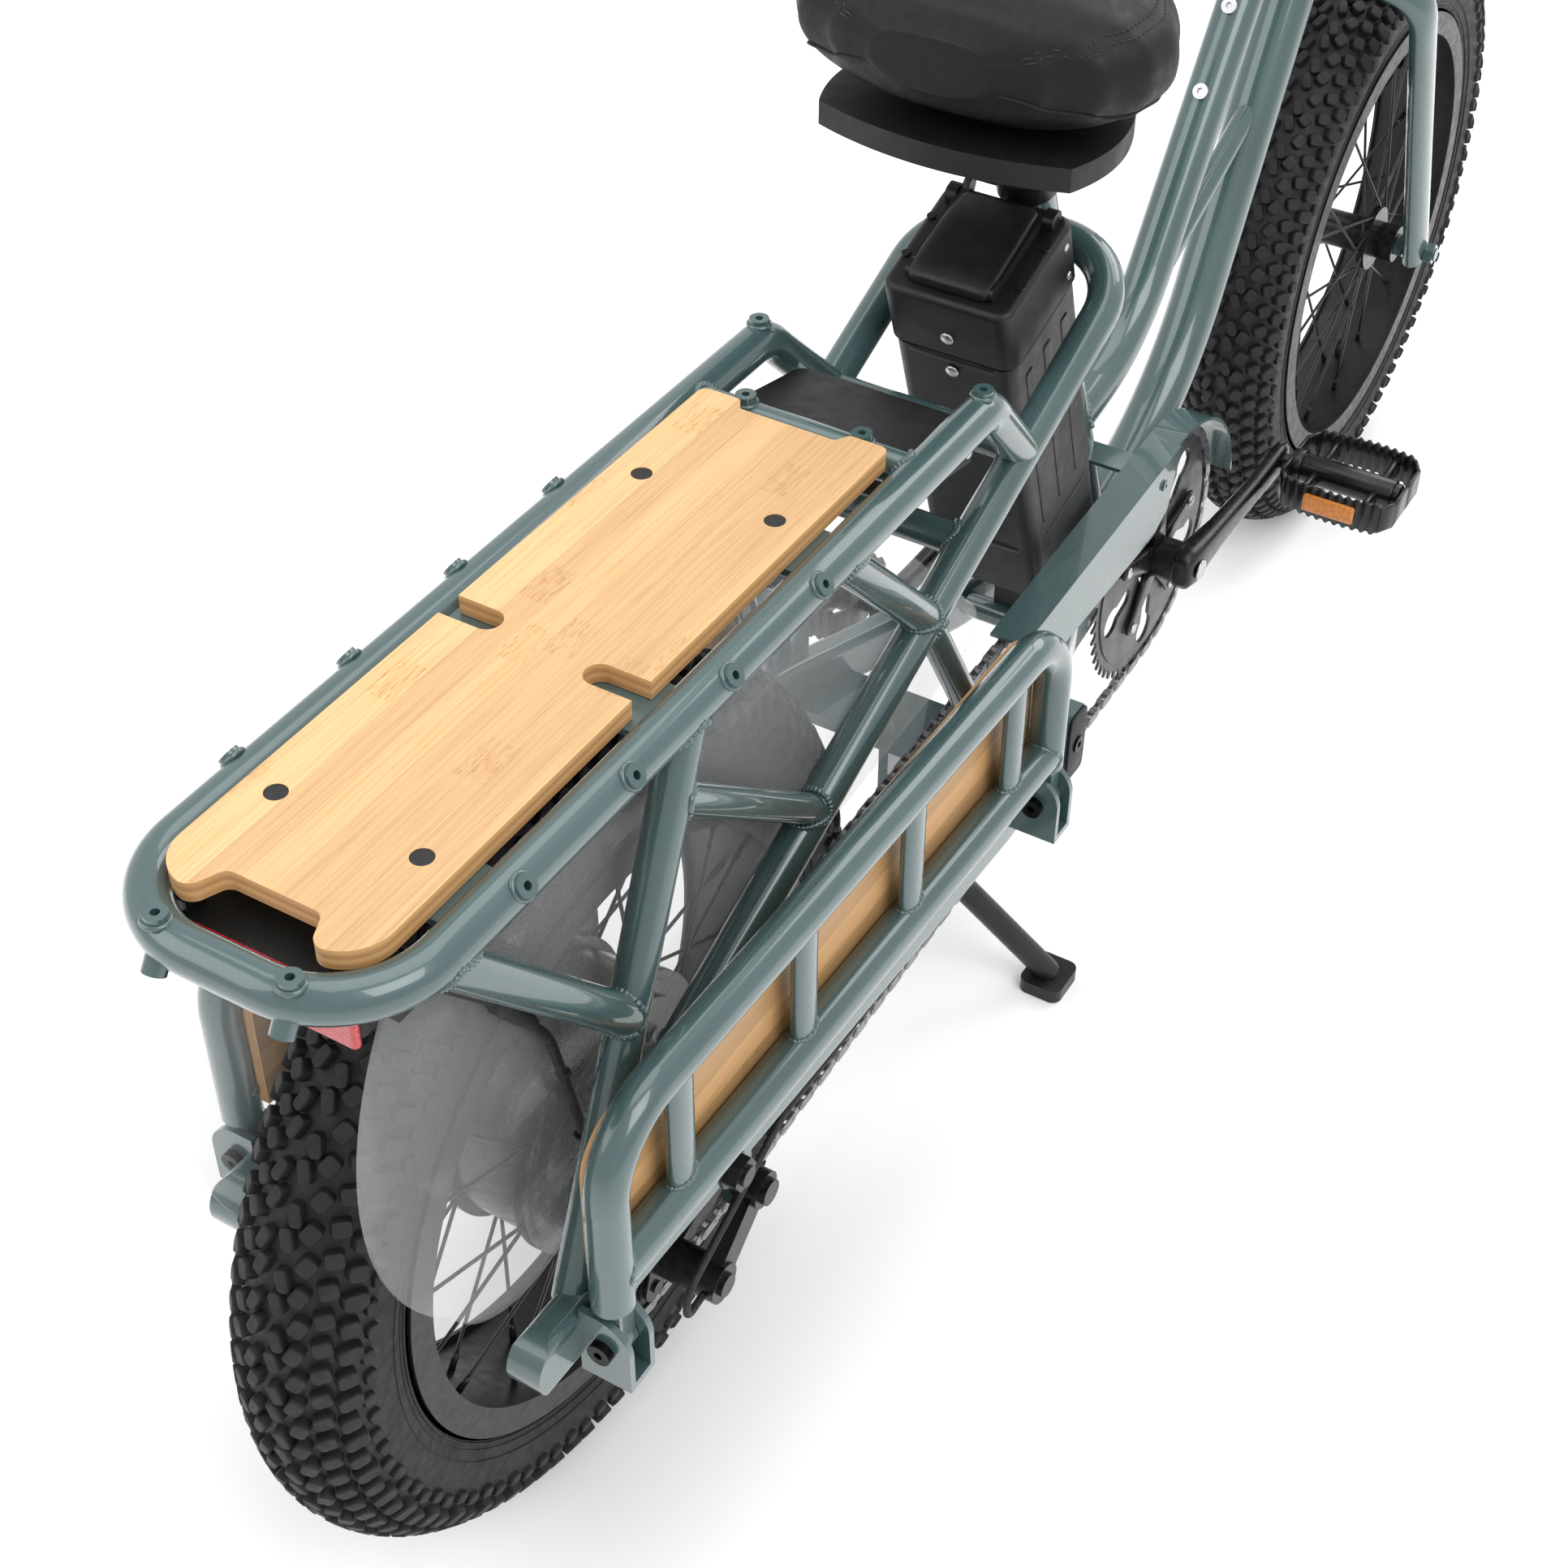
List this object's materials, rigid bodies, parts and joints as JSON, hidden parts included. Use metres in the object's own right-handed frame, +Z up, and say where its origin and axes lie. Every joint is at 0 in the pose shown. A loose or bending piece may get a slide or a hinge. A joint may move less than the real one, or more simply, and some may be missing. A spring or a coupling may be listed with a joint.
{
  "type": "long-tail cargo bicycle",
  "caption": "Long-tail electric cargo bicycle with step-through frame, rear rack with wooden deck, two folding side racks, battery behind the seat tube and fat tyres.",
  "frame": {"origin": "on the ground, midway between the two axles, in the middle plane", "axes": "+X forward, +Y to the left side, +Z up; the chain is on the -Y side"},
  "size_m": [1.8568, 0.7024, 1.0499],
  "materials": {
    "frame_paint": "gloss grey-teal paint",
    "black_metal": "satin black anodised",
    "steel": "bright zinc plate",
    "dark_steel": "dark hardened steel",
    "spoke": "black coated",
    "tyre": "moulded rubber",
    "rubber": "matt rubber",
    "plastic": "textured black",
    "bamboo": "clear satin lacquer",
    "saddle_skin": "matt black synthetic leather",
    "clear": "clear polycarbonate",
    "red_lens": "red lens"
  },
  "bodies": {
    "frame_body": {"main_frame": "frame_paint", "bearing_cups": "black_metal", "seat_clamp": "black_metal", "seat_stays": "frame_paint", "chainstays": "frame_paint", "fold_brackets": "frame_paint", "rack_frame": "frame_paint", "rack_struts": "frame_paint", "deck_board": "bamboo", "deck_plugs": "rubber", "controller_box": "plastic", "tail_light_housing": "plastic", "tail_light_lens": "red_lens", "wheel_guards": "clear", "battery_dock": "plastic", "frame_screws": "steel", "rear_axle": "steel", "derailleur": "black_metal", "chain": "steel", "chain_guard": "frame_paint", "rear_brake_caliper": "black_metal", "rear_cables": "rubber"},
    "clamp_lever_body": {"clamp_lever": "black_metal"},
    "seat_body": {"seat_post": "black_metal", "saddle_base": "plastic", "saddle": "saddle_skin"},
    "battery_body": {"battery_case": "plastic", "battery_lid": "plastic"},
    "battery_handle_body": {"battery_handle": "plastic"},
    "rear_wheel_body": {"rear_tyre": "tyre", "rear_rim": "black_metal", "rear_spokes": "spoke", "hub_motor": "black_metal"},
    "cassette_body": {"cassette": "dark_steel"},
    "guide_pulley_body": {"guide_pulley": "plastic"},
    "tension_pulley_body": {"tension_pulley": "plastic"},
    "front_wheel_body": {"front_tyre": "tyre", "front_rim": "black_metal", "front_spokes": "spoke", "front_hub": "black_metal"},
    "steering_body": {"fork": "frame_paint", "stem": "black_metal", "handlebar": "black_metal", "grips": "rubber", "bar_controls": "plastic", "headlight": "plastic", "front_brake_caliper": "black_metal", "front_hoses": "rubber"},
    "brake_lever_right_body": {"brake_lever_right": "black_metal"},
    "brake_lever_left_body": {"brake_lever_left": "black_metal"},
    "shift_lever_body": {"shift_lever": "plastic"},
    "crank_body": {"crankset": "black_metal", "chainring": "dark_steel"},
    "pedal_right_body": {"pedal_right": "black_metal"},
    "pedal_left_body": {"pedal_left": "black_metal"},
    "stand_body": {"stand_legs": "black_metal"},
    "side_rack_right_body": {"side_rack_right": "frame_paint", "side_panel_right": "bamboo"},
    "side_rack_left_body": {"side_rack_left": "frame_paint", "side_panel_left": "bamboo"}
  },
  "joints": [
    {"name": "steering", "type": "hinge", "parent": "frame_body", "child": "steering_body", "pos_m": [0.42079, 0, 0.74544], "axis": [-0.342, 0, 0.9397], "range_deg": [-45, 45]},
    {"name": "front_wheel_spin", "type": "hinge", "parent": "steering_body", "child": "front_wheel_body", "pos_m": [0.6405, 0, 0.288], "axis": [0, 1, 0], "continuous": true},
    {"name": "brake_right_pull", "type": "hinge", "parent": "steering_body", "child": "brake_lever_right_body", "pos_m": [0.4065, -0.21326, 1.02494], "axis": [0.04, 0, 0.9992], "range_deg": [0, 8], "stiffness_Nm_per_rad": 1, "springref_deg": -5.73},
    {"name": "brake_left_pull", "type": "hinge", "parent": "steering_body", "child": "brake_lever_left_body", "pos_m": [0.4065, 0.21326, 1.02494], "axis": [-0.04, 0, -0.9992], "range_deg": [0, 8], "stiffness_Nm_per_rad": 1, "springref_deg": -5.73},
    {"name": "shift_push", "type": "hinge", "parent": "steering_body", "child": "shift_lever_body", "pos_m": [0.37848, -0.18118, 0.99004], "axis": [0.04, 0, 0.9992], "range_deg": [-20, 20], "stiffness_Nm_per_rad": 0.1},
    {"name": "rear_wheel_spin", "type": "hinge", "parent": "frame_body", "child": "rear_wheel_body", "pos_m": [-0.6405, 0, 0.288], "axis": [0, 1, 0], "continuous": true},
    {"name": "crank_turn", "type": "hinge", "parent": "frame_body", "child": "crank_body", "pos_m": [0.0955, 0, 0.265], "axis": [0, 1, 0], "continuous": true, "deforming": ["chain"]},
    {"name": "cassette_turn", "type": "hinge", "parent": "frame_body", "child": "cassette_body", "pos_m": [-0.6405, 0, 0.288], "axis": [0, 1, 0], "continuous": true},
    {"name": "guide_pulley_turn", "type": "hinge", "parent": "frame_body", "child": "guide_pulley_body", "pos_m": [-0.6285, 0, 0.214], "axis": [0, 1, 0], "continuous": true},
    {"name": "tension_pulley_turn", "type": "hinge", "parent": "frame_body", "child": "tension_pulley_body", "pos_m": [-0.64991, 0, 0.14736], "axis": [0, 1, 0], "continuous": true},
    {"name": "pedal_right_turn", "type": "hinge", "parent": "crank_body", "child": "pedal_right_body", "pos_m": [0.26534, 0, 0.27242], "axis": [0, 1, 0], "continuous": true},
    {"name": "pedal_left_turn", "type": "hinge", "parent": "crank_body", "child": "pedal_left_body", "pos_m": [-0.07434, 0, 0.25759], "axis": [0, 1, 0], "continuous": true},
    {"name": "stand_fold", "type": "hinge", "parent": "frame_body", "child": "stand_body", "pos_m": [-0.1955, 0, 0.15], "axis": [0, 1, 0], "range_deg": [0, 55]},
    {"name": "side_rack_right_fold", "type": "hinge", "parent": "frame_body", "child": "side_rack_right_body", "pos_m": [-0.6405, -0.1315, 0.303], "axis": [1, 0, 0], "range_deg": [0, 90]},
    {"name": "side_rack_left_fold", "type": "hinge", "parent": "frame_body", "child": "side_rack_left_body", "pos_m": [-0.6405, 0.1315, 0.303], "axis": [-1, 0, 0], "range_deg": [0, 90]},
    {"name": "battery_slide", "type": "slide", "parent": "frame_body", "child": "battery_body", "axis": [-0.3223, 0, 0.9466], "range_m": [0, 0.012]},
    {"name": "battery_handle_lift", "type": "hinge", "parent": "battery_body", "child": "battery_handle_body", "pos_m": [-0.10748, 0, 0.65115], "axis": [0, 1, 0], "range_deg": [0, 20]},
    {"name": "seat_height", "type": "slide", "parent": "frame_body", "child": "seat_body", "axis": [-0.3909, 0, 0.9204], "range_m": [0, 0.1]},
    {"name": "clamp_lever_open", "type": "hinge", "parent": "frame_body", "child": "clamp_lever_body", "pos_m": [-0.07326, 0.03, 0.66], "axis": [1, 0, 0], "range_deg": [0, 90]}
  ],
  "couplings": [
    {"joint": "cassette_turn", "follows": "crank_turn", "ratio": 2.6},
    {"joint": "guide_pulley_turn", "follows": "crank_turn", "ratio": -4.3333},
    {"joint": "tension_pulley_turn", "follows": "crank_turn", "ratio": 4.3333}
  ]
}
